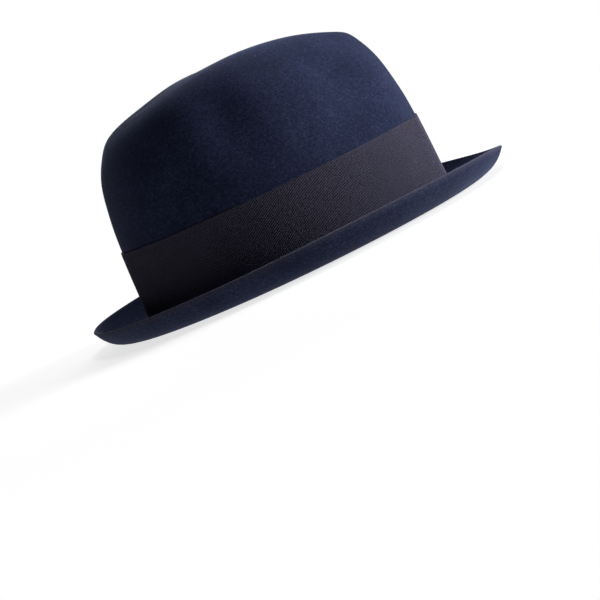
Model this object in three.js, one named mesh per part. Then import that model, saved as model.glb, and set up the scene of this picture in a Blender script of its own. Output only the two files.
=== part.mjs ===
// A fedora in navy felt with a ribbon band and a flat bow.
//
// Frame: millimetres, +Z up, the front of the hat at -Y and the wearer's left at +X.
// z = 0 is the flat underside of the brim, and the origin lies under the middle of the brim's outline.
// Angles run round the crown from the front (0) by the wearer's left (90 degrees) to the back.

import * as THREE from 'three';
import { mergeVertices } from 'three/addons/utils/BufferGeometryUtils.js';

// Driving dimensions.
const FELT = 2.0; // thickness of the crown and brim
const RIBBON = 1.0; // thickness of the band, the bow's folds and the keeper
const LEATHER = 1.2; // thickness of the sweatband
const GAP = 0.3; // clearance between neighbouring pieces
const BREAK_RADIUS = 2.5; // upper fillet where the crown meets the brim
const WALL_BASE = FELT + BREAK_RADIUS; // height at which the crown's wall starts
const BAND_TOP = 51.0;
const SWEATBAND = { bottom: 1.0, top: 38.0 };

// The crown, a row for each section from the brim up over the shoulders to the middle of the top.
// height is at the sides. frontDrop and backDrop are how much lower the section is at its two ends.
// front, back and side are its reach from the crown's centre, squareness is the exponent of its oval,
// and egg is how much narrower its front is than its back.
const CROWN = table(
  ['height', 'frontDrop', 'backDrop', 'front', 'back', 'side', 'squareness', 'egg'],
  [
    [WALL_BASE, 0, 0, 103.3, 103.3, 85.8, 2.06, 0.02],
    [22, 0, 0, 102.8, 102.8, 85.2, 2.06, 0.02],
    [40, 0, 0, 102.3, 102.2, 84.4, 2.06, 0.02],
    [61, 0, 0, 101.4, 101.1, 83, 2.06, 0.02],
    [79, 0.5, 0.5, 99.1, 98.9, 80.5, 2.06, 0.03],
    [96, 2, 2.5, 95.9, 96.1, 76, 2.08, 0.04],
    [112, 5, 5.5, 90.7, 88.8, 69, 2.1, 0.08],
    [125.4, 10.4, 9.8, 86.6, 81.8, 58, 2.15, 0.14],
    [130.8, 15, 12.6, 80.5, 74.2, 45, 2.2, 0.18],
    [131.7, 13.3, 10.7, 73.8, 67.2, 32, 2.2, 0.16],
    [132.3, 11.6, 9.1, 67.6, 60.1, 20, 2.2, 0.12],
    [132.4, 10, 7.9, 61.8, 53, 9.5, 2.2, 0.06],
    [132.4, 8.5, 6.8, 60.5, 50.5, 0, 2.2, 0],
  ],
);
const DROP_POWER = 1.71; // how late along a section its ends start to drop
const WALL_TOP_STATION = 6; // below this row the wall only rises

// Stations at which the crown is cut: whole numbers are the rows above, closer where it bends more.
const CROWN_STATIONS = [12, 11.4, 10.8, 10.2, 9.6, 9, 8.5, 8, 7.5, 7, 6.5, 6, 5.25, 4.5, 3.75, 3, 2, 1, 0];

// The crease pressed down into the front of the top, between the pinches: forward places its middle,
// length and width are how far it spreads, and depth is how deep it is.
const CREASE = { forward: 28, length: 28, width: 17, depth: 13.5 };

// The soft hollows pressed by hand into each side of the crown: the pinch, a fainter one behind it and
// one at the front shoulder.
// forward, side and height place the middle, and length and tall are how far the hollow spreads.
const HOLLOWS = table(
  ['forward', 'side', 'height', 'length', 'tall', 'depth'],
  [
    [40, 70, 91, 24, 26, 7],
    [-37, 72, 95, 17, 24, 3.8],
    [68, 55, 114, 25, 15, 4.5],
  ],
);
const HOLLOW_REACH = 45; // a hollow on one side fades out over this distance across the crown

// The brim: flat next to the crown, then curled up to its cut edge.
const FLAT_WIDTH = 6.5; // from the crown's wall to the start of the curl
const CURL_POWER = 4.4; // how late the curl turns up
const RIM = { front: 138.6, back: 135.9, side: 126, squareness: 2.08, egg: 0 };
// Heights of the edge at the front, front left, left, back left, back, back right, right, front right.
const RIM_HEIGHTS = [9.1, 15.0, 17.4, 15.7, 14.2, 15.7, 17.4, 15.0];

// The flat bow on the wearer's left, and the keeper round its waist.
const BOW = {
  angle: THREE.MathUtils.degToRad(96), // of its middle, a little behind the wearer's left
  length: 68,
  waistHeight: 34,
  endHeight: 41,
  waistThickness: 2.0,
  endThickness: 3.0,
  opening: 17, // length over which each loop opens out from the waist
  rounding: 0.8, // of its folded upper and lower edges
};
const KEEPER = { width: 14, clearance: 1.0, rounding: 0.8 };

const ANGLE_STEPS = 64; // facets round the hat
const BREAK_STEPS = 3;
const CURL_STEPS = 6;
const CURL_SPREAD = 0.75; // under 1, so that the steps are closer where the curl turns up
const BAND_ROWS = 4;
const BOW_STEPS = 14;
const HALVINGS = 40; // in the search for a height on the wall
const TINY = 0.01; // step for slopes, in stations and radians

const feltBlue = new THREE.MeshStandardMaterial({ color: 0x18223e, roughness: 0.95, metalness: 0 });
const ribbonBlack = new THREE.MeshStandardMaterial({ color: 0x14151c, roughness: 0.7, metalness: 0 });
const leatherBlack = new THREE.MeshStandardMaterial({ color: 0x1c1714, roughness: 0.5, metalness: 0 });

// Names the columns of a table: each row becomes an object.
function table(columns, rows) {
  return rows.map((row) => Object.fromEntries(columns.map((name, i) => [name, row[i]])));
}

function signedPower(value, power) {
  return Math.sign(value) * Math.abs(value) ** power;
}

// Blends objects that hold the same named numbers.
function blend(items, weights) {
  const names = Object.keys(items[0]);
  const total = (name) => items.reduce((sum, item, i) => sum + item[name] * weights[i], 0);
  return Object.fromEntries(names.map((name) => [name, total(name)]));
}

// The table's row, continued straight on below the wall and mirrored across the middle of the top.
function crownRow(index) {
  const last = CROWN.length - 1;
  if (index < 0) return blend([CROWN[0], CROWN[1]], [2, -1]);
  if (index > last) return { ...CROWN[last - 1], side: -CROWN[last - 1].side };
  return CROWN[index];
}

// The section at a station: a uniform cubic B-spline through the table's rows.
function sectionAt(station) {
  const span = Math.min(Math.floor(station), CROWN.length - 2);
  const u = station - span;
  const weights = [
    (1 - u) ** 3 / 6,
    (3 * u ** 3 - 6 * u ** 2 + 4) / 6,
    (-3 * u ** 3 + 3 * u ** 2 + 3 * u + 1) / 6,
    u ** 3 / 6,
  ];
  return blend([-1, 0, 1, 2].map((step) => crownRow(span + step)), weights);
}

// A point of a section's oval, as its distances forward and to the wearer's left.
function ovalPoint(section, angle) {
  const reach = Math.cos(angle) > 0 ? section.front : section.back;
  const power = 2 / section.squareness;
  return {
    forward: reach * signedPower(Math.cos(angle), power),
    left: section.side * signedPower(Math.sin(angle), power) * (1 - section.egg * Math.cos(angle)),
  };
}

// How far the hollows press the felt in at a point of the crown, towards the wearer's right.
function hollowShift(forward, left, height) {
  let shift = 0;
  for (const hollow of HOLLOWS) {
    for (const side of [-1, 1]) {
      const along = (forward - hollow.forward) / hollow.length;
      const up = (height - hollow.height) / hollow.tall;
      const across = (left - side * hollow.side) / HOLLOW_REACH;
      shift += side * hollow.depth * Math.exp(-(along ** 2) - up ** 2 - across ** 2);
    }
  }
  return shift;
}

// How far the crease lowers the top at a point of the crown.
function creaseDrop(forward, left) {
  const along = (forward - CREASE.forward) / CREASE.length;
  const across = left / CREASE.width;
  return CREASE.depth * Math.exp(-(along ** 2) - across ** 2);
}

// A point of the crown's outer face.
function crownPoint(angle, station) {
  const section = sectionAt(station);
  const drop = Math.cos(angle) > 0 ? section.frontDrop : section.backDrop;
  const height = section.height - drop * Math.abs(Math.cos(angle)) ** DROP_POWER;
  const { forward, left } = ovalPoint(section, angle);
  const pressed = height - creaseDrop(forward, left);
  return new THREE.Vector3(left - hollowShift(forward, left, height), -forward, pressed);
}

// The outward normal there. On the middle line it has no sideways part, so both sides meet.
function crownNormal(angle, station) {
  const middle = CROWN.length - 1;
  const at = Math.min(station, middle - 2 * TINY);
  const round = crownPoint(angle + TINY, at).sub(crownPoint(angle - TINY, at));
  const down = crownPoint(angle, Math.max(at - TINY, 0)).sub(crownPoint(angle, at + TINY));
  const normal = down.cross(round);
  if (station === middle) normal.x = 0;
  return normal.normalize();
}

// The station at which the wall reaches a height.
function stationAtHeight(height) {
  let low = 0;
  let high = WALL_TOP_STATION;
  for (let i = 0; i < HALVINGS; i += 1) {
    const middle = (low + high) / 2;
    if (sectionAt(middle).height < height) low = middle;
    else high = middle;
  }
  return low;
}

// A point beside the wall: offset is outward from the felt's outer face. Below the wall it drops straight.
function besideWall(angle, height, offset) {
  const station = stationAtHeight(Math.max(height, WALL_BASE));
  const point = crownPoint(angle, station).addScaledVector(crownNormal(angle, station), offset);
  point.z = height;
  return point;
}

// The height of the brim's edge: a smooth closed curve through the eight listed heights.
function rimHeight(angle) {
  const count = RIM_HEIGHTS.length;
  const place = (angle / (2 * Math.PI)) * count;
  const index = Math.floor(place);
  const u = place - index;
  const [a, b, c, d] = [-1, 0, 1, 2].map((step) => RIM_HEIGHTS[(index + step + count) % count]);
  return b + 0.5 * u * (c - a + u * (2 * a - 5 * b + 4 * c - d + u * (3 * b - a - 3 * c + d)));
}

// The brim's upper face along one angle, from the break out to the edge, as points with normals.
function brimProfile(angle) {
  const foot = crownPoint(angle, 0);
  const outward = crownNormal(angle, 0).setZ(0).normalize();
  const up = new THREE.Vector3(0, 0, 1);
  const profile = [];
  for (let i = 1; i <= BREAK_STEPS; i += 1) {
    const turn = ((Math.PI / 2) * i) / BREAK_STEPS;
    const normal = outward.clone().multiplyScalar(Math.cos(turn)).addScaledVector(up, Math.sin(turn));
    const centre = foot.clone().addScaledVector(outward, BREAK_RADIUS);
    profile.push({ point: centre.addScaledVector(normal, -BREAK_RADIUS), normal });
  }
  const flatEnd = foot.clone().addScaledVector(outward, FLAT_WIDTH).setZ(FELT);
  profile.push({ point: flatEnd, normal: up });
  const edge = ovalPoint(RIM, angle);
  const run = new THREE.Vector3(edge.left, -edge.forward, FELT).sub(flatEnd);
  const rise = rimHeight(angle) - FELT;
  for (let i = 1; i <= CURL_STEPS; i += 1) {
    const s = (i / CURL_STEPS) ** CURL_SPREAD;
    const point = flatEnd.clone().addScaledVector(run, s);
    point.z += rise * s ** CURL_POWER;
    const slope = (rise * CURL_POWER * s ** (CURL_POWER - 1)) / run.length();
    const normal = up.clone().addScaledVector(run, -slope / run.length()).normalize();
    profile.push({ point, normal });
  }
  return profile;
}

// The felt's upper face along one angle, from the middle of the top down the wall and out.
function feltProfile(angle) {
  const crown = CROWN_STATIONS.map((station) => ({
    point: crownPoint(angle, station),
    normal: crownNormal(angle, station),
  }));
  return [...crown, ...brimProfile(angle)];
}

// Turns profiles, one for each angle, into rings, one for each place along the profiles.
function ringsOf(profiles) {
  return profiles[0].map((_, row) => profiles.map((profile) => profile[row]));
}

function angles(count) {
  return Array.from({ length: count }, (_, i) => (2 * Math.PI * i) / count);
}

// A closed body from rings of points. Rings close on themselves. joinEnds joins the last ring to the
// first, and capEnds closes both ends with a fan; with neither, each end ring is folded shut already.
function ringsGeometry(rings, { joinEnds = false, capEnds = false } = {}) {
  const size = rings[0].length;
  const points = rings.flat();
  const triangles = [];
  const at = (row, i) => (row % rings.length) * size + (i % size);
  const rows = joinEnds ? rings.length : rings.length - 1;
  for (let row = 0; row < rows; row += 1) {
    for (let i = 0; i < size; i += 1) {
      triangles.push(at(row, i), at(row + 1, i), at(row, i + 1));
      triangles.push(at(row, i + 1), at(row + 1, i), at(row + 1, i + 1));
    }
  }
  if (capEnds) {
    for (const row of [0, rings.length - 1]) {
      const centre = rings[row].reduce((sum, p) => sum.add(p), new THREE.Vector3()).divideScalar(size);
      for (let i = 0; i < size; i += 1) {
        const pair = row === 0 ? [at(row, i), at(row, i + 1)] : [at(row, i + 1), at(row, i)];
        triangles.push(points.length, ...pair);
      }
      points.push(centre);
    }
  }
  const geometry = new THREE.BufferGeometry().setFromPoints(points);
  geometry.setIndex(triangles);
  return mergeVertices(geometry, 1e-4);
}

// Crown and brim in one piece of felt: the upper face, the cut edge and the under face.
function feltGeometry() {
  const rings = ringsOf(angles(ANGLE_STEPS).map(feltProfile));
  const upper = rings.map((ring) => ring.map(({ point }) => point));
  const under = rings.map((ring) =>
    ring.map(({ point, normal }) => point.clone().addScaledVector(normal, -FELT)),
  );
  return ringsGeometry([...upper, ...under.reverse()]);
}

// A strip that lies all the way round the wall, between two heights and two offsets from the felt.
function stripGeometry(bottom, top, inner, outer) {
  const heights = Array.from({ length: BAND_ROWS }, (_, i) => top + ((bottom - top) * i) / (BAND_ROWS - 1));
  const profileAt = (angle) => [
    ...heights.map((height) => besideWall(angle, height, outer)),
    ...heights.toReversed().map((height) => besideWall(angle, height, inner)),
  ];
  return ringsGeometry(ringsOf(angles(ANGLE_STEPS).map(profileAt)), { joinEnds: true });
}

// A point on the bow's side of the hat: along is the distance from the bow's middle towards the back,
// up the height above the band's middle, and out the distance from the band's outer face.
function besideBow(along, up, out) {
  const angle = BOW.angle + Math.asin(along / CROWN[0].front);
  return besideWall(angle, (WALL_BASE + BAND_TOP) / 2 + up, GAP + RIBBON + out);
}

// The bow: a flat fold of ribbon, narrow and lifted off the band under the keeper.
function bowGeometry() {
  const sections = [];
  for (let i = 0; i <= BOW_STEPS; i += 1) {
    const along = BOW.length * (i / BOW_STEPS - 0.5);
    const past = Math.abs(along) - KEEPER.width / 2 - KEEPER.clearance;
    const open = THREE.MathUtils.smoothstep(past, 0, BOW.opening);
    const half = THREE.MathUtils.lerp(BOW.waistHeight, BOW.endHeight, open) / 2;
    const inner = THREE.MathUtils.lerp(2 * GAP + RIBBON, GAP, open);
    const outer = inner + THREE.MathUtils.lerp(BOW.waistThickness, BOW.endThickness, open);
    const face = half - BOW.rounding;
    const middle = (inner + outer) / 2;
    sections.push([
      besideBow(along, -face, outer),
      besideBow(along, 0, outer),
      besideBow(along, face, outer),
      besideBow(along, half, middle),
      besideBow(along, face, inner),
      besideBow(along, 0, inner),
      besideBow(along, -face, inner),
      besideBow(along, -half, middle),
    ]);
  }
  return ringsGeometry(sections, { capEnds: true });
}

// The keeper: a narrow strap that goes right round the bow's waist, between it and the band.
function keeperGeometry() {
  const half = BOW.waistHeight / 2 + GAP;
  const depth = BOW.waistThickness / 2 + GAP;
  const middle = GAP + RIBBON + depth;
  const across = [-0.5, 0, 0.5].map((part) => part * KEEPER.width);
  // The way round the waist by its corners and the middles of its sides: up the outer face first.
  const turns = [[-1, 1], [0, 1], [1, 1], [1, 0], [1, -1], [0, -1], [-1, -1], [-1, 0]];
  const rings = turns.map(([up, out]) => {
    const reach = up !== 0 && out !== 0 ? RIBBON * KEEPER.rounding : RIBBON;
    const outside = (along) => besideBow(along, up * (half + reach), middle + out * (depth + reach));
    const inside = (along) => besideBow(along, up * half, middle + out * depth);
    return [...across.toReversed().map(outside), ...across.map(inside)];
  });
  return ringsGeometry(rings, { joinEnds: true });
}

function addPiece(parent, name, geometry, material) {
  const mesh = new THREE.Mesh(geometry, material);
  mesh.name = name;
  parent.add(mesh);
  return mesh;
}

const hat = new THREE.Group();
const felt = addPiece(hat, 'felt_body', feltGeometry(), feltBlue);
addPiece(hat, 'hat_band', stripGeometry(WALL_BASE, BAND_TOP, GAP, GAP + RIBBON), ribbonBlack);
const leatherFace = -(FELT + GAP);
const leatherBack = leatherFace - LEATHER;
const sweatband = stripGeometry(SWEATBAND.bottom, SWEATBAND.top, leatherBack, leatherFace);
addPiece(hat, 'sweatband', sweatband, leatherBlack);
addPiece(hat, 'bow', bowGeometry(), ribbonBlack);
addPiece(hat, 'bow_keeper', keeperGeometry(), ribbonBlack);

// The brim's outline is centred on the origin.
felt.geometry.computeBoundingBox();
hat.position.y = -felt.geometry.boundingBox.getCenter(new THREE.Vector3()).y;

export default hat;
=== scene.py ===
"""A navy felt fedora with a grosgrain band and bow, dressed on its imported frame."""

import logging
import math
from dataclasses import astuple, dataclass, field, replace
from enum import Enum
from functools import partial, reduce
from itertools import product

import bmesh
import bpy
import numpy as np
from mathutils import Matrix, Vector


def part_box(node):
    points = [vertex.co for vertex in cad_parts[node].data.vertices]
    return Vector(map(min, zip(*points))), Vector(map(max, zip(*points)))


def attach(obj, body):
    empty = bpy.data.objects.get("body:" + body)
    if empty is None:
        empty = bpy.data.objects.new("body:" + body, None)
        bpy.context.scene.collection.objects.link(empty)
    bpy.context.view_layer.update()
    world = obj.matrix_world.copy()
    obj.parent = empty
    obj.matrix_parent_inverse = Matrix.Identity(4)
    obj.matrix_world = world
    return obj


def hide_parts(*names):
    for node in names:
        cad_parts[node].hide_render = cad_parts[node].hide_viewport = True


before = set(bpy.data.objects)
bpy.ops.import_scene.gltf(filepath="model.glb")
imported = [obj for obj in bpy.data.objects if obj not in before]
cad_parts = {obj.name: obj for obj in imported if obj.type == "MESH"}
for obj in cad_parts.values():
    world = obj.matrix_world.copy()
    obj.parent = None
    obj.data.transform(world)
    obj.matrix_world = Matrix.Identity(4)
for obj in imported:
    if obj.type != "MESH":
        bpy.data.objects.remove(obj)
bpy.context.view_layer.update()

MM = 0.001  # the classes hold millimetres, and meshes are made in metres
BODY = "root"
FULL_TURN = 2 * math.pi

Colour = tuple[float, float, float]
Values = tuple[float, ...]
Array = np.ndarray
Numbers = Array | float
Faces = list[tuple[int, ...]]
Material = bpy.types.Material
Piece = bpy.types.Object
Socket = bpy.types.NodeSocket

log = logging.getLogger("fedora")


class MaterialSlot(Enum):
    """The record's material slots."""

    FELT = "navy_felt"
    RIBBON = "grosgrain_ribbon"
    LEATHER = "black_leather"


class Trace(Enum):
    """Values that a piece's points carry for its finish."""

    RIB_LIGHT_AND_SHADE = "rib"  # 1 on a weave's rib crests, where a highlight is painted, and 0 in its valleys, where shade is painted
    CUT_EDGE_HIGHLIGHT = "cut_edge"  # 1 on the cut edge of the felt, where a highlight is painted


# Shared geometry helpers.


def signed_power(values: Array, power: Numbers) -> Array:
    """Raises magnitudes to a power and keeps the signs."""
    return np.sign(values) * np.abs(values) ** power


def smoothstep(values: Numbers, start: float, end: float) -> Numbers:
    """Rises smoothly from 0 at start to 1 at end."""
    u = np.clip((values - start) / (end - start), 0.0, 1.0)
    return u * u * (3.0 - 2.0 * u)


def unit(vectors: Array) -> Array:
    """Scales vectors in the last axis to length 1."""
    return vectors / np.linalg.norm(vectors, axis=-1, keepdims=True)


def full_circle(count: int) -> Array:
    """Spaces angles evenly round a full turn, from 0 to just before its end."""
    return np.arange(count) / count * FULL_TURN


def distances(path: Array) -> Array:
    """Measures how far along a path each of its points lies."""
    return np.concatenate([[0.0], np.cumsum(np.linalg.norm(np.diff(path, axis=0), axis=1))])


def levels_of(node: str) -> tuple[float, float]:
    """Reads the lowest and highest levels of a node of the frame, in millimetres."""
    low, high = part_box(node)
    return low.z / MM, high.z / MM


def grid_faces(rows: int, columns: int, join_rows: bool) -> Faces:
    """Makes the quads of a grid whose columns close on themselves.

    Args:
        rows: number of rings.
        columns: number of points in a ring.
        join_rows: whether the last ring joins the first.

    Returns:
        Quads whose normals are along-rows cross along-columns.
    """
    row = np.arange(rows if join_rows else rows - 1)[:, None]
    column = np.arange(columns)[None, :]
    below, beside = (row + 1) % rows, (column + 1) % columns
    corners = [(row, column), (below, column), (below, beside), (row, beside)]
    numbers = [ring * columns + point for ring, point in corners]
    quads = np.stack(np.broadcast_arrays(*numbers), axis=-1).reshape(-1, 4)
    return [tuple(quad) for quad in quads.tolist()]


def even_loop(outline: Array, count: int) -> tuple[Array, Array]:
    """Spaces points evenly round a closed outline that runs anticlockwise.

    Args:
        outline: close points of the outline in a plane, of shape (points, 2).
        count: how many points to make.

    Returns:
        The points and their outward normals, both of shape (count, 2).
    """
    closed = np.vstack([outline, outline[:1]])
    travelled = distances(closed)
    at = np.arange(count) / count * travelled[-1]
    points = np.stack([np.interp(at, travelled, closed[:, axis]) for axis in (0, 1)], axis=-1)
    ahead = np.roll(points, -1, axis=0) - np.roll(points, 1, axis=0)
    return points, unit(np.stack([ahead[:, 1], -ahead[:, 0]], axis=-1))


def loop_length(outline: Array) -> float:
    """Measures a closed outline."""
    return float(np.linalg.norm(outline - np.roll(outline, 1, axis=0), axis=1).sum())


def make_piece(
    name: str, points: Array, faces: Faces, merge: bool = False, traces: dict[Trace, Array] | None = None
) -> Piece:
    """Makes a smooth-shaded object from points in millimetres.

    Args:
        name: the piece's name.
        points: an array with x, y and z in its last axis.
        faces: corner numbers of each face.
        merge: whether points that coincide become one.
        traces: a value for each point, for each trace that its finish reads.

    Returns:
        The new object, in the scene.
    """
    mesh = bpy.data.meshes.new(name)
    mesh.from_pydata((points.reshape(-1, 3) * MM).tolist(), [], faces)
    for trace, values in (traces or {}).items():
        layer = mesh.attributes.new(trace.value, "FLOAT", "POINT")
        layer.data.foreach_set("value", values.reshape(-1).astype(np.float32))
    if merge:
        work = bmesh.new()
        work.from_mesh(mesh)
        bmesh.ops.remove_doubles(work, verts=work.verts, dist=1e-7)
        work.to_mesh(mesh)
        work.free()
    mesh.polygons.foreach_set("use_smooth", [True] * len(mesh.polygons))
    mesh.update()
    piece = bpy.data.objects.new(name, mesh)
    bpy.context.scene.collection.objects.link(piece)
    return piece


def finish_piece(piece: Piece, material: Material, stands_for: str = "") -> Piece:
    """Dresses a piece and hands it to the frame.

    Args:
        piece: the object.
        material: its finish.
        stands_for: the frame's node that it replaces, if any.

    Returns:
        The same object.
    """
    piece.data.materials.append(material)
    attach(piece, BODY)
    if stands_for:
        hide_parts(stands_for)
    return piece


# The hat's form.


@dataclass(frozen=True)
class Section:
    """One section of the crown, from the brim up over the shoulders to the middle of the top."""

    height: float
    front_drop: float
    back_drop: float
    front: float
    back: float
    side: float
    squareness: float
    egg: float


@dataclass(frozen=True)
class Hollow:
    """A soft hollow pressed by hand into both sides of the crown."""

    forward: float
    side: float
    height: float
    length: float
    tall: float
    depth: float


@dataclass(frozen=True)
class Crease:
    """The crease pressed down into the front of the top, between the pinches."""

    forward: float = 28.0
    length: float = 28.0
    width: float = 17.0
    depth: float = 13.5

    def drop(self, forward: Array, left: Array) -> Array:
        """Finds how far the top is lowered, at distances in front and to the left of the crown's centre."""
        along = (forward - self.forward) / self.length
        return self.depth * np.exp(-(along**2) - (left / self.width) ** 2)


@dataclass(frozen=True)
class CrownForm:
    """The crown's outer face as a smooth surface over angle and station.

    Angles run from the front by the wearer's left to the back. Stations count the sections.
    """

    sections: tuple[Section, ...] = (
        Section(4.5, 0, 0, 103.3, 103.3, 85.8, 2.06, 0.02),
        Section(22, 0, 0, 102.8, 102.8, 85.2, 2.06, 0.02),
        Section(40, 0, 0, 102.3, 102.2, 84.4, 2.06, 0.02),
        Section(61, 0, 0, 101.4, 101.1, 83, 2.06, 0.02),
        Section(79, 0.5, 0.5, 99.1, 98.9, 80.5, 2.06, 0.03),
        Section(96, 2, 2.5, 95.9, 96.1, 76, 2.08, 0.04),
        Section(112, 5, 5.5, 90.7, 88.8, 69, 2.1, 0.08),
        Section(125.4, 10.4, 9.8, 86.6, 81.8, 58, 2.15, 0.14),
        Section(130.8, 15, 12.6, 80.5, 74.2, 45, 2.2, 0.18),
        Section(131.7, 13.3, 10.7, 73.8, 67.2, 32, 2.2, 0.16),
        Section(132.3, 11.6, 9.1, 67.6, 60.1, 20, 2.2, 0.12),
        Section(132.4, 10, 7.9, 61.8, 53, 9.5, 2.2, 0.06),
        Section(132.4, 8.5, 6.8, 60.5, 50.5, 0, 2.2, 0),
    )
    crease: Crease = Crease()
    hollows: tuple[Hollow, ...] = (
        Hollow(40, 70, 91, 24, 26, 7),
        Hollow(-37, 72, 95, 17, 24, 3.8),
        Hollow(68, 55, 114, 25, 15, 4.5),
    )
    drop_power: float = 1.71
    hollow_reach: float = 45.0
    wall_top_station: float = 6.0
    stations_listed: int = 400  # among which a height is looked up
    angles_listed: int = 2881  # among which a distance round the wall is looked up
    girth_corners: int = 721
    centre_y: float = field(default_factory=lambda: sum(corner.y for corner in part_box("hat_band")) / 2 / MM)

    @property
    def middle(self) -> int:
        """The station of the middle line of the top."""
        return len(self.sections) - 1

    def sections_at(self, stations: Array) -> Array:
        """Blends the sections with a uniform cubic B-spline.

        Args:
            stations: where to look, from 0 to the middle of the top.

        Returns:
            One row of section values for each station.
        """
        # The rows run on straight below the wall and are mirrored across the middle of the top.
        mirrored = replace(self.sections[-2], side=-self.sections[-2].side)
        rows = np.array([astuple(section) for section in (*self.sections, mirrored)], float)
        rows = np.vstack([2 * rows[0] - rows[1], rows])
        span = np.minimum(stations.astype(int), len(self.sections) - 2)
        u = (stations - span)[..., None]
        a, b, c, d = (rows[span + step] for step in range(4))
        return (
            (1 - u) ** 3 * a
            + (3 * u**3 - 6 * u**2 + 4) * b
            + (-3 * u**3 + 3 * u**2 + 3 * u + 1) * c
            + u**3 * d
        ) / 6

    def hollow_shift(self, forward: Array, left: Array, height: Array) -> Array:
        """Finds how far the hollows press the felt in, towards the wearer's right.

        Args:
            forward: distance in front of the crown's centre.
            left: distance to the wearer's left.
            height: height above the brim's underside.

        Returns:
            The sideways shift.
        """
        shift = np.zeros_like(left)
        for hollow, side in product(self.hollows, (-1, 1)):
            along = (forward - hollow.forward) / hollow.length
            up = (height - hollow.height) / hollow.tall
            across = (left - side * hollow.side) / self.hollow_reach
            shift = shift + side * hollow.depth * np.exp(-(along**2) - up**2 - across**2)
        return shift

    def points(self, angles: Array, stations: Numbers) -> Array:
        """Finds points of the outer face.

        Args:
            angles: angles round the crown.
            stations: stations, of a shape that broadcasts with the angles.

        Returns:
            Points in millimetres.
        """
        angles, stations = np.broadcast_arrays(angles, stations)
        section = self.sections_at(stations)
        height, front_drop, back_drop, front, back, side, squareness, egg = np.moveaxis(section, -1, 0)
        cosine, sine = np.cos(angles), np.sin(angles)
        ahead = cosine > 0
        height = height - np.where(ahead, front_drop, back_drop) * np.abs(cosine) ** self.drop_power
        forward = np.where(ahead, front, back) * signed_power(cosine, 2 / squareness)
        left = side * signed_power(sine, 2 / squareness) * (1 - egg * cosine)
        shifted = left - self.hollow_shift(forward, left, height)
        lowered = height - self.crease.drop(forward, left)
        return np.stack([shifted, self.centre_y - forward, lowered], axis=-1)

    def normals(self, angles: Array, stations: Numbers) -> Array:
        """Finds the outward normals of the outer face.

        Args:
            angles: angles round the crown.
            stations: stations, of a shape that broadcasts with the angles.

        Returns:
            Unit vectors. On the middle line of the top they have no sideways part.
        """
        tiny = 0.01
        angles, stations = np.broadcast_arrays(angles, stations)
        at = np.minimum(stations, self.middle - 2 * tiny)
        around = self.points(angles + tiny, at) - self.points(angles - tiny, at)
        down = self.points(angles, np.maximum(at - tiny, 0)) - self.points(angles, at + tiny)
        normal = np.cross(down, around)
        normal[..., 0] = np.where(stations >= self.middle, 0.0, normal[..., 0])
        return unit(normal)

    def station_at(self, heights: Array) -> Array:
        """Finds the stations at which the wall reaches given heights, from its base to the shoulders."""
        stations = np.linspace(0, self.wall_top_station, self.stations_listed)
        return np.interp(heights, self.sections_at(stations)[:, 0], stations)

    def beside_wall(self, angles: Array, heights: Numbers, offsets: Numbers) -> Array:
        """Finds points beside the wall.

        Args:
            angles: angles round the crown.
            heights: heights. Below the wall the surface drops straight.
            offsets: distances outward from the felt's outer face.

        Returns:
            Points in millimetres.
        """
        angles, heights, offsets = np.broadcast_arrays(angles, heights, offsets)
        stations = self.station_at(np.maximum(heights, self.sections[0].height))
        points = self.points(angles, stations) + self.normals(angles, stations) * offsets[..., None]
        points[..., 2] = heights
        return points

    def even_angles(self, count: int, height: float) -> Array:
        """Spaces angles so that they are evenly far apart along the wall.

        Args:
            count: how many angles to make.
            height: the height along which distances are measured.

        Returns:
            The angles, from the front round to just before it.
        """
        fine = np.linspace(0, FULL_TURN, self.angles_listed)
        travelled = distances(self.beside_wall(fine, height, 0.0))
        return np.interp(np.arange(count) / count * travelled[-1], travelled, fine)

    def girth(self, height: float) -> float:
        """Measures the distance round the wall at a height."""
        path = self.beside_wall(np.linspace(0, FULL_TURN, self.girth_corners), height, 0.0)
        return float(np.linalg.norm(np.diff(path, axis=0), axis=1).sum())


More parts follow.
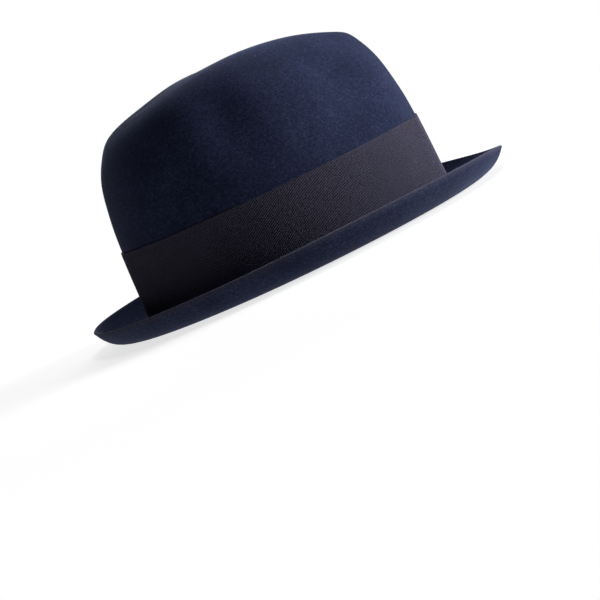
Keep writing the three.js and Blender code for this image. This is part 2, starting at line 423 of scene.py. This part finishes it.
@dataclass(frozen=True)
class BrimForm:
    """The brim's upper face: a tight break, a flat ring and a curl up to the cut edge."""

    felt: float = 2.0
    break_radius: float = 2.5
    flat_width: float = 6.5
    curl_power: float = 4.4
    curl_spread: float = 0.75  # under 1, it crowds the rings towards the edge
    front: float = 138.6
    back: float = 135.9
    side: float = 126.0
    squareness: float = 2.08
    break_steps: int = 6
    flat_steps: int = 4
    curl_steps: int = 26
    rim_heights: Values = (9.1, 15.0, 17.4, 15.7, 14.2, 15.7, 17.4, 15.0)

    def rim_height(self, angles: Array) -> Array:
        """Runs a smooth closed curve through the rim's listed heights.

        Args:
            angles: angles round the brim.

        Returns:
            The heights of the upper edge.
        """
        heights = np.array(self.rim_heights)
        count = len(heights)
        place = angles / FULL_TURN * count
        index = np.floor(place).astype(int)
        u = place - index
        a, b, c, d = (heights[(index + step) % count] for step in (-1, 0, 1, 2))
        return b + 0.5 * u * (c - a + u * (2 * a - 5 * b + 4 * c - d + u * (3 * b - a - 3 * c + d)))

    def profile(self, crown: CrownForm, angles: Array) -> tuple[Array, Array]:
        """Traces the upper face from the break out to the edge.

        Args:
            crown: the crown that the brim grows out of.
            angles: angles round the brim.

        Returns:
            Points and normals, a ring in each row.
        """
        foot = crown.points(angles, 0.0)
        outward = unit(crown.normals(angles, 0.0) * [1, 1, 0])
        up = np.zeros_like(outward) + [0, 0, 1]
        points, normals = [], []
        for step in range(1, self.break_steps + 1):
            turn = math.pi / 2 * step / self.break_steps
            normal = outward * math.cos(turn) + up * math.sin(turn)
            points.append(foot + (outward - normal) * self.break_radius)
            normals.append(normal)
        for step in range(1, self.flat_steps + 1):
            reach = self.break_radius + (self.flat_width - self.break_radius) * step / self.flat_steps
            points.append((foot + outward * reach) * [1, 1, 0] + up * self.felt)
            normals.append(up)
        flat_end = points[-1]
        cosine = np.cos(angles)
        power = 2 / self.squareness
        forward = np.where(cosine > 0, self.front, self.back) * signed_power(cosine, power)
        left = self.side * signed_power(np.sin(angles), power)
        edge = np.stack([left, crown.centre_y - forward], axis=-1)
        run = np.concatenate([edge - flat_end[:, :2], np.zeros((len(angles), 1))], axis=1)
        length = np.linalg.norm(run, axis=1, keepdims=True)
        rise = (self.rim_height(angles) - self.felt)[:, None]
        for step in range(1, self.curl_steps + 1):
            s = (step / self.curl_steps) ** self.curl_spread
            points.append(flat_end + run * s + up * rise * s**self.curl_power)
            slope = rise * self.curl_power * s ** (self.curl_power - 1) / length
            normals.append(unit(up - run / length * slope))
        return np.array(points), np.array(normals)


# Finishes.


class ShaderGraph:
    """The nodes of a material or a world, with short calls for those that the finishes share."""

    def __init__(self, owner: Material | bpy.types.World, shader: str = "Principled BSDF") -> None:
        """Takes up a new owner's nodes.

        Args:
            owner: the material or world.
            shader: the name of the node that colours it.
        """
        owner.use_nodes = True
        self.owner = owner
        self.nodes = owner.node_tree.nodes
        self.links = owner.node_tree.links
        self.shader = self.nodes[shader]

    def set(self, **values: float | Values) -> None:
        """Sets the shader's own sockets, named with underscores for spaces."""
        for name, value in values.items():
            self.shader.inputs[name.replace("_", " ")].default_value = value

    def feed(self, name: str, source: Socket) -> None:
        """Links a socket of the shader."""
        self.links.new(source, self.shader.inputs[name])

    def add(self, kind: str, inputs: dict | None = None, **settings: str) -> bpy.types.Node:
        """Adds a node.

        Args:
            kind: its type, without the start that all shader nodes have.
            inputs: a socket to link, a value or None, for inputs by name or number.
            settings: its own settings.

        Returns:
            The node.
        """
        node = self.nodes.new("ShaderNode" + kind)
        for name, setting in settings.items():
            setattr(node, name, setting)
        for key, source in (inputs or {}).items():
            if isinstance(source, Socket):
                self.links.new(source, node.inputs[key])
            elif source is not None:
                node.inputs[key].default_value = source
        return node

    def place(self, stretch: Values = (1, 1, 1)) -> Socket:
        """Gives places on the piece in metres, times factors along x, y and z."""
        places = self.add("TexCoord").outputs["Object"]
        return self.add("Mapping", {"Vector": places, "Scale": stretch}).outputs["Vector"]

    def noise(self, vector: Socket, size: float, detail: float, roughness: float = 0.5) -> Socket:
        """Adds a noise texture whose largest spots are so many millimetres wide."""
        inputs = {"Vector": vector, "Scale": 1 / (size * MM), "Detail": detail, "Roughness": roughness}
        return self.add("TexNoise", inputs).outputs["Fac"]

    def trace(self, trace: Trace) -> Socket:
        """Reads a value that the piece's points carry."""
        return self.add("Attribute", attribute_name=trace.value).outputs["Fac"]

    def blend(self, factor: Socket, first: Socket, second: Socket) -> Socket:
        """Mixes two colours, the first at 0 and the second at 1."""
        node = self.add("Mix", {"Factor": factor, "A": first, "B": second}, data_type="RGBA")
        return node.outputs["Result"]

    def mix(self, factor: Socket, first: Socket, second: Socket) -> Socket:
        """Mixes two shaders, the first at 0 and the second at 1."""
        return self.add("MixShader", {"Fac": factor, 1: first, 2: second}).outputs["Shader"]

    def ramp(self, factor: Socket, stops: Values, *colours: Colour) -> Socket:
        """Adds a colour ramp.

        Args:
            factor: the value to look up.
            stops: the colours' positions.
            colours: a colour for each stop.

        Returns:
            The colour socket.
        """
        node = self.add("ValToRGB", {"Fac": factor})
        elements = node.color_ramp.elements
        while len(elements) < len(stops):
            elements.new(1.0)
        for element, position, colour in zip(elements, stops, colours):
            element.position = position
            element.color = (*colour, 1.0)
        return node.outputs["Color"]

    def maths(self, operation: str, first: Socket, second: Socket | float) -> Socket:
        """Adds a maths node with two values."""
        return self.add("Math", {0: first, 1: second}, operation=operation).outputs["Value"]

    def weigh(self, weights: Values, *values: Socket) -> Socket:
        """Adds up values times their weights."""
        parts = [self.maths("MULTIPLY", value, weight) for value, weight in zip(values, weights)]
        return reduce(partial(self.maths, "ADD"), parts)

    def bump(self, height: Socket, depth: float, under: Socket | None = None) -> Socket:
        """Adds a bump so many millimetres deep, over the normal of a coarser one if that is given."""
        inputs = {"Height": height, "Distance": depth * MM, "Normal": under}
        return self.add("Bump", inputs).outputs["Normal"]


@dataclass(frozen=True)
class FeltFinish:
    """Brushed fur felt: navy, clouded by the dye and covered by a short nap, with a painted highlight along
    its cut edge.
    """

    shade: Colour = (0.0058, 0.0085, 0.0262)
    body: Colour = (0.0148, 0.0207, 0.0565)
    tips: Colour = (0.0400, 0.0515, 0.1200)
    # the cut's colour: the raw cut's lighter fuzz, brightened well past the felt's own tones as a painted
    # highlight on the cut edge
    cut: Colour = (0.1000, 0.0960, 0.1400)
    nap_stops: Values = (0.36, 0.5, 0.64)
    cut_highlight_stops: Values = (0.3, 0.6)
    weights: Values = (0.6, 0.25, 0.15)  # of the fibres, tufts and clouds in the nap
    sheen: float = 0.22
    sheen_roughness: float = 0.45
    sheen_tint: Values = (0.42, 0.50, 0.85, 1.0)
    brushing: Values = (1.0, 1.0, 1.4)  # which crowds the nap along its height
    fibre_size: float = 0.9
    tuft_size: float = 2.4
    cloud_size: float = 24.0
    fibre_relief: float = 0.16
    tuft_relief: float = 0.10

    def build(self) -> Material:
        """Builds the material.

        Returns:
            The felt.
        """
        graph = ShaderGraph(bpy.data.materials.new("navy_fur_felt"))
        brushed = graph.place(self.brushing)
        fibres = graph.noise(brushed, self.fibre_size, detail=3, roughness=0.7)
        tufts = graph.noise(brushed, self.tuft_size, detail=2, roughness=0.6)
        clouds = graph.noise(graph.place(), self.cloud_size, detail=2)
        mottle = graph.weigh(self.weights, fibres, tufts, clouds)
        nap = graph.ramp(mottle, self.nap_stops, self.shade, self.body, self.tips)
        # the cut edge's painted highlight, speckled by the fibres
        cut_highlight = graph.ramp(fibres, self.cut_highlight_stops, self.body, self.cut)
        graph.feed("Base Color", graph.blend(graph.trace(Trace.CUT_EDGE_HIGHLIGHT), nap, cut_highlight))
        coarse = graph.bump(tufts, self.tuft_relief)
        graph.feed("Normal", graph.bump(fibres, self.fibre_relief, under=coarse))
        graph.set(Roughness=0.95, Specular_IOR_Level=0.10)
        graph.set(Sheen_Weight=self.sheen, Sheen_Roughness=self.sheen_roughness, Sheen_Tint=self.sheen_tint)
        return graph.owner


@dataclass(frozen=True)
class RibbonFinish:
    """Grosgrain: near-black warp over thick weft ribs, with a soft lustre, a painted highlight on each rib's
    crest and painted shade in the valleys between.
    """

    # the first colour is painted shade for the valleys between the ribs, the last a painted highlight for
    # their crests
    valley_shade: Colour = (0.0028, 0.0026, 0.0050)
    thread: Colour = (0.0650, 0.0617, 0.1080)
    rib: Colour = (0.2000, 0.1900, 0.3150)
    stops: Values = (0.12, 0.5, 0.9)
    weights: Values = (0.12, 0.08, 0.8)  # of the threads, clouds and the ribs' painted highlight and shade
    roughness: float = 0.7
    sheen: float = 0.04
    sheen_tint: Values = (0.85, 0.78, 0.95, 1.0)
    stretch: Values = (1.0, 1.0, 0.35)  # which draws the threads out along the height
    thread_size: float = 0.35
    cloud_size: float = 14.0
    thread_relief: float = 0.03

    def build(self) -> Material:
        """Builds the material.

        Returns:
            The ribbon's grosgrain.
        """
        graph = ShaderGraph(bpy.data.materials.new("charcoal_grosgrain"))
        threads = graph.noise(graph.place(self.stretch), self.thread_size, detail=2, roughness=0.6)
        clouds = graph.noise(graph.place(), self.cloud_size, detail=1)
        # the ribs' painted highlight and valley shade set most of the colour
        weave = graph.weigh(self.weights, threads, clouds, graph.trace(Trace.RIB_LIGHT_AND_SHADE))
        graph.feed("Base Color", graph.ramp(weave, self.stops, self.valley_shade, self.thread, self.rib))
        graph.feed("Normal", graph.bump(threads, self.thread_relief))
        graph.set(Roughness=self.roughness, Specular_IOR_Level=0.10)
        graph.set(Sheen_Weight=self.sheen, Sheen_Roughness=0.3, Sheen_Tint=self.sheen_tint)
        return graph.owner


@dataclass(frozen=True)
class LeatherFinish:
    """Smooth sheepskin: near-black, finely grained and slightly glossy."""

    # the first colour sits where the crease relief sinks and the second, lighter one where it rises
    sunken_tone: Colour = (0.010, 0.008, 0.007)
    face: Colour = (0.028, 0.022, 0.019)
    stops: Values = (0.3, 0.7)
    grain_size: float = 1.1
    crease_size: float = 9.0
    grain_relief: float = 0.06
    crease_relief: float = 0.15
    roughness: float = 0.34
    dullness: float = 0.25  # what the creases add to the roughness

    def build(self) -> Material:
        """Builds the material.

        Returns:
            The leather.
        """
        graph = ShaderGraph(bpy.data.materials.new("black_sheepskin"))
        place = graph.place()
        grain = graph.add("TexVoronoi", {"Vector": place, "Scale": 1 / (self.grain_size * MM)})
        wrinkles = graph.noise(place, self.crease_size, detail=4, roughness=0.6)
        graph.feed("Base Color", graph.ramp(wrinkles, self.stops, self.sunken_tone, self.face))
        dulled = graph.maths("MULTIPLY", wrinkles, self.dullness)
        graph.feed("Roughness", graph.maths("ADD", dulled, self.roughness))
        fine = graph.bump(grain.outputs["Distance"], self.grain_relief)
        graph.feed("Normal", graph.bump(wrinkles, self.crease_relief, under=fine))
        graph.set(Specular_IOR_Level=0.5)
        return graph.owner


@dataclass(frozen=True)
class ThreadFinish:
    """Waxed sewing thread with a fine twist."""

    dark: Colour = (0.020, 0.018, 0.018)
    light: Colour = (0.060, 0.055, 0.052)
    stops: Values = (0.4, 0.6)
    twist: float = 0.3
    relief: float = 0.04

    def build(self) -> Material:
        """Builds the material.

        Returns:
            The thread.
        """
        graph = ShaderGraph(bpy.data.materials.new("black_thread"))
        strands = graph.noise(graph.place(), self.twist, detail=1)
        graph.feed("Base Color", graph.ramp(strands, self.stops, self.dark, self.light))
        graph.feed("Normal", graph.bump(strands, self.relief))
        graph.set(Roughness=0.6)
        return graph.owner


# Sub-assemblies.


@dataclass
class FeltHat:
    """The crown and brim in one piece of felt."""

    crown: CrownForm
    brim: BrimForm
    finish: FeltFinish = FeltFinish()
    angle_steps: int = 384
    crown_steps: int = 120
    edge_parts: Values = (0.25, 0.5, 0.75)  # rings down the cut, as parts of the felt
    edge_round: float = 0.35  # how far the cut edge bulges at its middle
    unevenness: float = 0.56  # reach of the slow swells left by hand blocking
    swell_seed: int = 7
    swell_lengths: Values = (34.0, 41.0, 52.0, 63.0, 78.0, 95.0)
    swell_start: float = 56.0  # the height at which they set in
    swell_full: float = 80.0

    def swells(self, points: Array) -> Array:
        """Makes the slow swells of hand-blocked felt, none beside the band.

        Args:
            points: points of the outer face.

        Returns:
            A height for each point.
        """
        random = np.random.default_rng(self.swell_seed)
        total = np.zeros(points.shape[:-1])
        for wavelength in self.swell_lengths:
            direction = unit(random.normal(size=3))
            phase = random.uniform(0, FULL_TURN)
            total += np.sin(points @ direction * FULL_TURN / wavelength + phase)
        above_band = smoothstep(points[..., 2], self.swell_start, self.swell_full)
        return total / len(self.swell_lengths) * above_band * self.unevenness

    def faces_of_felt(self) -> tuple[Array, Array]:
        """Traces the upper face from the middle of the top to the edge.

        Returns:
            Points and normals, a ring in each row.
        """
        angles = full_circle(self.angle_steps)
        stations = np.linspace(self.crown.middle, 0, self.crown_steps)[:, None]
        points = self.crown.points(angles[None, :], stations)
        normals = self.crown.normals(angles[None, :], stations)
        points = points + normals * self.swells(points)[..., None]
        brim_points, brim_normals = self.brim.profile(self.crown, angles)
        return np.concatenate([points, brim_points]), np.concatenate([normals, brim_normals])

    def build(self) -> Piece:
        """Builds and dresses the felt.

        Returns:
            The crown and brim.
        """
        upper, normals = self.faces_of_felt()
        thickness = self.brim.felt
        outward = unit(upper[-1] - upper[-2])
        edge = []
        for part in self.edge_parts:
            bulge = self.edge_round * math.sin(math.pi * part)
            edge.append(upper[-1] - normals[-1] * thickness * part + outward * bulge)
        under = (upper - normals * thickness)[::-1]
        kept = sorted({*range(0, len(under), 2), len(under) - 1})
        rings = np.concatenate([upper, edge, under[kept]])
        # where the finish paints the cut edge's highlight: 1 on the cut, 0.5 on the rings beside it
        cut = np.zeros(rings.shape[:2])
        first, last = len(upper), len(upper) + len(edge)
        cut[first - 1 : last + 1] = 0.5
        cut[first:last] = 1.0
        faces = grid_faces(len(rings), self.angle_steps, join_rows=False)
        piece = make_piece("felt_crown_and_brim", rings, faces, merge=True, traces={Trace.CUT_EDGE_HIGHLIGHT: cut})
        return finish_piece(piece, self.finish.build(), "felt_body")


@dataclass(frozen=True)
class Grosgrain:
    """The weave of the ribbon: round ribs with woven edges."""

    pitch: float = 0.885
    relief: float = 0.26
    roundness: float = 0.8  # power of a rib's profile: the smaller, the flatter its crest
    crest: float = 4.0  # the larger, the narrower the painted highlight on a crest
    # the painted-light value given to the rings that have no ribs
    plain_shine: float = 0.5
    samples: int = 4
    edge_width: float = 1.3
    edge_ribs: float = 0.25  # part of their height that the ribs keep at the very edge
    edge_flat: float = 0.35  # part of the edge's width over which they keep it
    edge_bead: float = 0.12
    bead_fall: Values = (0.2, 0.8)  # parts of that width between which the bead falls away

    def phases(self, length: float) -> Array:
        """Fits whole ribs into a closed length, and gives the places of its samples counted in ribs."""
        return np.arange(round(length / self.pitch) * self.samples) / self.samples

    def rib(self, phase: Array) -> Array:
        """Gives the height of round ribs over their valleys, from 0 to the relief."""
        return self.relief * np.abs(np.sin(math.pi * phase)) ** self.roundness

    def shine(self, phase: Array) -> Array:
        """Gives 1 on the crests of the ribs, where a highlight is painted as if the thread caught the light,
        and 0 beside them, where shade is painted.
        """
        return np.clip(1 - self.crest * np.abs(phase % 1 - 0.5), 0, 1)

    def cover(self, phase: Array, from_edge: float) -> Array:
        """Gives the ribbon's surface relief, ribs in the middle and a bead along each woven edge.

        Args:
            phase: place along the ribbon, counted in ribs.
            from_edge: distance from the nearest woven edge.

        Returns:
            The height over the ribbon's base face.
        """
        inside = smoothstep(from_edge, self.edge_flat * self.edge_width, self.edge_width)
        start, end = (part * self.edge_width for part in self.bead_fall)
        bead = self.edge_bead * (1 - smoothstep(from_edge, start, end))
        return self.rib(phase) * (self.edge_ribs + (1 - self.edge_ribs) * inside) + bead


@dataclass
class RibbonPart:
    """What the parts made of ribbon share."""

    crown: CrownForm
    weave: Grosgrain
    material: Material

    def make(self, name: str, stands_for: str, rings: list[Array], phase: Array, plain: int = 0) -> Piece:
        """Makes and dresses a piece of ribbon whose last ring joins its first.

        Args:
            name: the piece's name.
            stands_for: the frame's node that it replaces.
            rings: its rings of points in millimetres.
            phase: the places in a ring, counted in ribs.
            plain: how many of the last rings have no ribs.

        Returns:
            The piece.
        """
        # painted highlight on the rib crests and painted shade beside them, as a value per point for the
        # finish
        ribs = np.tile(self.weave.shine(phase), (len(rings), 1))
        ribs[len(rings) - plain :] = self.weave.plain_shine
        faces = grid_faces(*ribs.shape, join_rows=True)
        piece = make_piece(name, np.array(rings), faces, traces={Trace.RIB_LIGHT_AND_SHADE: ribs})
        return finish_piece(piece, self.material, stands_for)


@dataclass
class RibbonBand(RibbonPart):
    """The band round the foot of the crown."""

    inner_offset: float = 0.16
    thickness: float = 0.81
    inner_rings: int = 8
    edge_rings: Values = (0.0, 0.25, 0.6, 1.0)  # as parts of a woven edge's width
    face_rings: Values = (0.18, 0.34, 0.5, 0.66, 0.82)  # as parts of the band's width

    def build(self) -> Piece:
        """Builds and dresses the band.

        Returns:
            The band.
        """
        bottom, top = levels_of("hat_band")
        middle = (top + bottom) / 2
        phase = self.weave.phases(self.crown.girth(middle))
        angles = self.crown.even_angles(len(phase), middle)
        steps = [part * self.weave.edge_width for part in self.edge_rings]
        heights = [top - step for step in steps]
        heights += [top - part * (top - bottom) for part in self.face_rings]
        heights += [bottom + step for step in reversed(steps)]
        rings = []
        for height in heights:
            cover = self.weave.cover(phase, min(top - height, height - bottom))
            offset = self.inner_offset + self.thickness + cover - self.weave.relief
            rings.append(self.crown.beside_wall(angles, height, offset))
        for height in np.linspace(bottom, top, self.inner_rings):
            rings.append(self.crown.beside_wall(angles, height, self.inner_offset))
        return self.make("ribbon_band", "hat_band", rings, phase, plain=self.inner_rings)


@dataclass
class FlatBow(RibbonPart):
    """The bow on the wearer's left: a flattened loop of ribbon, gathered under its keeper."""

    middle: float = field(default_factory=lambda: sum(levels_of("hat_band")) / 2)
    angle: float = math.radians(96)
    length: float = 68.0
    waist_height: float = 33.2
    end_height: float = 41.0
    band_face: float = 1.3
    clearance: float = 0.3
    thickness: float = 0.7
    waist_depth: float = 2.0
    end_depth: float = 3.0
    opening: float = 17.0
    keeper_width: float = 14.0
    keeper_thickness: float = 1.0
    keeper_room: float = 0.7  # above and below the waist
    keeper_part: float = 0.9  # part of its thickness that the strap itself takes
    keeper_steps: int = 15
    end_power: float = 0.22  # powers that round the outlines: the smaller, the squarer
    face_power: float = 0.55
    keeper_power: float = 0.15
    gathers: int = 5  # half waves between the middle and an edge
    gather_depth: float = 0.22
    up_steps: int = 22
    fineness: int = 6000  # points of an outline before it is spaced evenly

    def place(self, along: Array, up: Array, out: Array) -> Array:
        """Finds points at distances behind and above the bow's middle, and out from the band."""
        angles = self.angle + np.arcsin(along / self.crown.sections[0].front)
        return self.crown.beside_wall(angles, self.middle + up, self.band_face + out)

    def outline(self, inset: float) -> Array:
        """Traces the loop once round, along its front layer and back along its rear layer.

        Args:
            inset: distance inside the ribbon's outer face.

        Returns:
            Close points as distances along the bow and distances from the band.
        """
        t = full_circle(self.fineness)
        along = signed_power(np.cos(t), self.end_power) * (self.length / 2 - inset)
        opened = self.opened(along)
        half = (self.waist_depth + (self.end_depth - self.waist_depth) * opened) / 2
        lift = (self.clearance + self.keeper_thickness) * (1 - opened) + self.clearance
        out = lift + half + signed_power(np.sin(t), self.face_power) * (half - inset)
        return np.stack([along, out], axis=-1)

    def opened(self, along: Array) -> Array:
        """Tells how far the loop has opened out from its waist, from 0 to 1."""
        start = self.keeper_width / 2 + self.clearance
        return smoothstep(np.abs(along), start, start + self.opening)

    def ribbed(self, points: Array, outward: Array, phase: Array) -> Array:
        """Sinks the valleys between the ribs into an outline."""
        return points + outward * (self.weave.rib(phase) - self.weave.relief)[:, None]

    def build(self) -> Piece:
        """Builds and dresses the bow.

        Returns:
            The bow.
        """
        phase = self.weave.phases(loop_length(self.outline(0.0)))
        ups = np.linspace(-1, 1, self.up_steps)
        rings = []
        for inset, order in ((0.0, ups), (self.thickness, ups[::-1])):
            points, outward = even_loop(self.outline(inset), len(phase))
            opened = self.opened(points[:, 0])
            half = (self.waist_height + (self.end_height - self.waist_height) * opened) / 2
            gather = 0.0
            if inset == 0:
                points = self.ribbed(points, outward, phase)
                gather = self.gather_depth * (1 - opened)
            for up in order:
                out = points[:, 1] + gather * np.cos(up * self.gathers * math.pi)
                rings.append(self.place(points[:, 0], up * half, out))
        return self.make("ribbon_bow", "bow", rings, phase)

    def keeper_outline(self, reach: float) -> Array:
        """Traces the keeper once round the bow's waist.

        Args:
            reach: distance outside the keeper's inner face.

        Returns:
            Close points as distances from the band and heights above the bow's middle.
        """
        half_up = self.waist_height / 2 + self.keeper_room
        half_out = self.waist_depth / 2 + self.clearance
        centre = self.clearance + self.keeper_thickness + half_out
        t = full_circle(self.fineness)
        out = centre + signed_power(np.cos(t), self.keeper_power) * (half_out + reach)
        return np.stack([out, signed_power(np.sin(t), self.keeper_power) * (half_up + reach)], axis=-1)

    def build_keeper(self) -> Piece:
        """Builds and dresses the keeper round the bow's waist.

        Returns:
            The keeper.
        """
        thickness = self.keeper_part * self.keeper_thickness
        phase = self.weave.phases(loop_length(self.keeper_outline(thickness)))
        across = np.linspace(-0.5, 0.5, self.keeper_steps) * self.keeper_width
        rings = []
        for reach, order in ((thickness, across), (0.0, across[::-1])):
            points, outward = even_loop(self.keeper_outline(reach), len(phase))
            if reach:
                points = self.ribbed(points, outward, phase)
            for along in order:
                rings.append(self.place(np.full(len(phase), along), points[:, 1], points[:, 0]))
        return self.make("bow_keeper_strap", "bow_keeper", rings, phase)


@dataclass
class Sweatband:
    """The leather band inside the crown, with the stitches along its lower edge."""

    crown: CrownForm
    finish: LeatherFinish = LeatherFinish()
    thread: ThreadFinish = ThreadFinish()
    face_offset: float = -2.3
    thickness: float = 1.2
    bevel: float = 0.4
    columns: int = 360
    rows: int = 16
    stitch_height: float = 4.2
    stitch_length: float = 2.4
    stitch_gap: float = 1.0
    stitch_bow: float = 1.3  # in thread radii, as is the sink of its ends
    stitch_sink: float = 0.6
    stitch_sides: int = 6
    stitch_cuts: int = 7
    thread_radius: float = 0.22

    def build(self) -> Piece:
        """Builds and dresses the leather.

        Returns:
            The leather band.
        """
        bottom, top = levels_of("sweatband")
        inner = self.face_offset - self.thickness
        middle = (self.face_offset + inner) / 2
        heights = np.linspace(bottom + self.bevel, top - self.bevel, self.rows)
        places = [(height, self.face_offset) for height in heights[::-1]] + [(bottom, middle)]
        places += [(height, inner) for height in heights] + [(top, middle)]
        angles = full_circle(self.columns)
        rings = np.array([self.crown.beside_wall(angles, height, offset) for height, offset in places])
        faces = grid_faces(len(rings), self.columns, join_rows=True)
        piece = make_piece("leather_sweatband", rings, faces)
        return finish_piece(piece, self.finish.build(), "sweatband")

    def build_stitches(self) -> Piece:
        """Builds the row of stitches as one piece, a short bowed thread for each.

        Returns:
            The stitches.
        """
        pitch = self.stitch_length + self.stitch_gap
        count = round(self.crown.girth(self.stitch_height) / pitch)
        starts = self.crown.even_angles(count, self.stitch_height)
        step = np.diff(starts).mean() * self.stitch_length / pitch
        face = self.face_offset - self.thickness
        sides, cuts = self.stitch_sides, self.stitch_cuts
        points = []
        for start, i, side in product(starts, range(cuts), range(sides)):
            part, turn = i / (cuts - 1), FULL_TURN * side / sides
            lift = self.thread_radius * (math.sin(math.pi * part) * self.stitch_bow - self.stitch_sink)
            height = self.stitch_height + math.cos(turn) * self.thread_radius
            points.append((start + step * part, height, face - lift - math.sin(turn) * self.thread_radius))
        placed = self.crown.beside_wall(*np.array(points).T)
        walls = grid_faces(cuts, sides, join_rows=False)
        ends = [tuple(range(sides)), tuple(reversed(range((cuts - 1) * sides, cuts * sides)))]
        firsts = range(0, len(points), cuts * sides)
        faces = [tuple(first + corner for corner in face) for first in firsts for face in walls + ends]
        piece = make_piece("sweatband_stitches", placed, faces)
        return finish_piece(piece, self.thread.build())


# The studio.


@dataclass(frozen=True)
class Softbox:
    """A rectangular studio light aimed at the hat."""

    name: str
    azimuth: float
    elevation: float
    distance: float
    width: float
    height: float
    power: float

    def build(self, target: Vector) -> None:
        """Builds the light.

        Args:
            target: the point that it is aimed at.
        """
        light = bpy.data.lights.new(self.name, "AREA")
        light.shape = "RECTANGLE"
        light.size = self.width
        light.size_y = self.height
        light.energy = self.power
        lamp = bpy.data.objects.new(self.name, light)
        lamp.location = target + direction_from(self.azimuth, self.elevation) * self.distance
        lamp.rotation_euler = (target - lamp.location).to_track_quat("-Z", "Y").to_euler()
        bpy.context.scene.collection.objects.link(lamp)


def direction_from(azimuth: float, elevation: float) -> Vector:
    """Points out from the hat, in degrees round from its front by the wearer's left and above level."""
    turn, rise = math.radians(azimuth), math.radians(elevation)
    return Vector((math.sin(turn) * math.cos(rise), -math.cos(turn) * math.cos(rise), math.sin(rise)))


@dataclass(frozen=True)
class Viewpoint:
    """The camera: a long lens at the height of the hat, rolled so that its front rises."""

    azimuth: float = 248.79
    elevation: float = 6.02
    roll: float = 25.14
    distance: float = 1.2809
    behind_centre: float = 0.0149  # of its aim, behind the crown's centre
    below_brim: float = 0.0224  # of its aim, under the brim
    lens: float = 124.33
    sensor: float = 36.0

    def build(self, crown: CrownForm) -> None:
        """Builds the camera and makes it the scene's.

        Args:
            crown: the crown that it looks at.
        """
        target = Vector((0.0, crown.centre_y * MM + self.behind_centre, -self.below_brim))
        data = bpy.data.cameras.new("camera")
        data.lens = self.lens
        data.sensor_width = self.sensor
        camera = bpy.data.objects.new("camera", data)
        toward = direction_from(self.azimuth, self.elevation)
        level = toward.to_track_quat("Z", "Y").to_matrix().to_4x4()
        place = Matrix.Translation(target + toward * self.distance)
        camera.matrix_world = place @ level @ Matrix.Rotation(math.radians(-self.roll), 4, "Z")
        bpy.context.scene.collection.objects.link(camera)
        bpy.context.scene.camera = camera


@dataclass(frozen=True)
class Studio:
    """A pale seamless floor, soft lights and a dim surround."""

    aim_height: float = 0.06
    floor_radius: float = 9.0
    floor_corners: int = 96
    floor_gap: float = 0.0001  # keeps the floor from showing through the felt
    floor_colour: Colour = (0.60, 0.60, 0.61)
    floor_bounce: Colour = (0.475, 0.46, 0.42)
    backdrop: Colour = (1.0, 1.0, 1.0)
    surround: float = 0.02
    glow: float = 0.72  # the floor's own light near the hat
    fade_start: float = 0.18
    fade_end: float = 0.55
    lights: tuple[Softbox, ...] = (
        Softbox("key", 336, 10, 1.6, 0.9, 0.6, 29.5),
        Softbox("top", 20, 60, 1.6, 0.9, 0.6, 8.5),
        Softbox("fill", 249, 8, 1.6, 0.9, 0.7, 1.0),
        Softbox("far_side", 72, 8, 1.6, 0.9, 0.6, 8.0),
    )

    def build(self) -> None:
        """Builds the floor, the surround and the lights."""
        self.build_floor()
        self.build_surround()
        for light in self.lights:
            light.build(Vector((0.0, 0.0, self.aim_height)))

    def build_floor(self) -> None:
        """Builds the floor, which fades into white to look at and throws back an even, weaker light."""
        angles = full_circle(self.floor_corners)
        levels = np.full(self.floor_corners, -self.floor_gap / self.floor_radius)
        ring = np.stack([np.cos(angles), np.sin(angles), levels], axis=1)
        floor = make_piece("floor", ring * self.floor_radius / MM, [tuple(range(self.floor_corners))])
        graph = ShaderGraph(bpy.data.materials.new("pale_floor"))
        graph.set(Base_Color=(*self.floor_colour, 1.0), Roughness=0.9, Specular_IOR_Level=0.2)
        graph.set(Emission_Color=(*self.backdrop, 1.0), Emission_Strength=self.glow)
        place = graph.add("TexCoord").outputs["Object"]
        length = graph.add("VectorMath", {0: place}, operation="LENGTH").outputs["Value"]
        limits = {"Value": length, "From Min": self.fade_start, "From Max": self.fade_end}
        fade = graph.add("MapRange", limits, interpolation_type="SMOOTHSTEP").outputs["Result"]
        white, bounce = (
            graph.add("Emission", {"Color": (*colour, 1.0)}).outputs["Emission"]
            for colour in (self.backdrop, self.floor_bounce)
        )
        seen = graph.mix(fade, graph.shader.outputs["BSDF"], white)
        whole = graph.mix(graph.add("LightPath").outputs["Is Camera Ray"], bounce, seen)
        graph.links.new(whole, graph.nodes["Material Output"].inputs["Surface"])
        floor.data.materials.append(graph.owner)

    def build_surround(self) -> None:
        """Makes the world white to look at and dim as a light."""
        world = bpy.data.worlds.new("surround")
        bpy.context.scene.world = world
        graph = ShaderGraph(world, "Background")
        graph.set(Color=(*self.backdrop, 1.0))
        seen = graph.add("LightPath").outputs["Is Camera Ray"]
        strength = graph.add("MapRange", {"Value": seen, "To Min": self.surround, "To Max": 1.0})
        graph.feed("Strength", strength.outputs["Result"])


def main() -> None:
    """Builds the hat, the studio and the camera."""
    logging.basicConfig(level=logging.INFO, format="%(name)s: %(message)s")
    bpy.context.scene.view_settings.view_transform = "Standard"
    crown, brim, weave = CrownForm(), BrimForm(), Grosgrain()
    Viewpoint().build(crown)
    Studio().build()
    pieces = [FeltHat(crown, brim).build()]
    ribbon = RibbonFinish().build()
    bow, sweatband = FlatBow(crown, weave, ribbon), Sweatband(crown)
    pieces += [RibbonBand(crown, weave, ribbon).build(), bow.build(), bow.build_keeper()]
    pieces += [sweatband.build(), sweatband.build_stitches()]
    for piece in pieces:
        log.info("%s: %d faces", piece.name, len(piece.data.polygons))


def plain(box: tuple[Vector, Vector]) -> list[list[float]]:
    """Turns a box into plain lists of numbers."""
    return [[float(value) for value in corner] for corner in box]


if __name__ == "__main__":
    main()
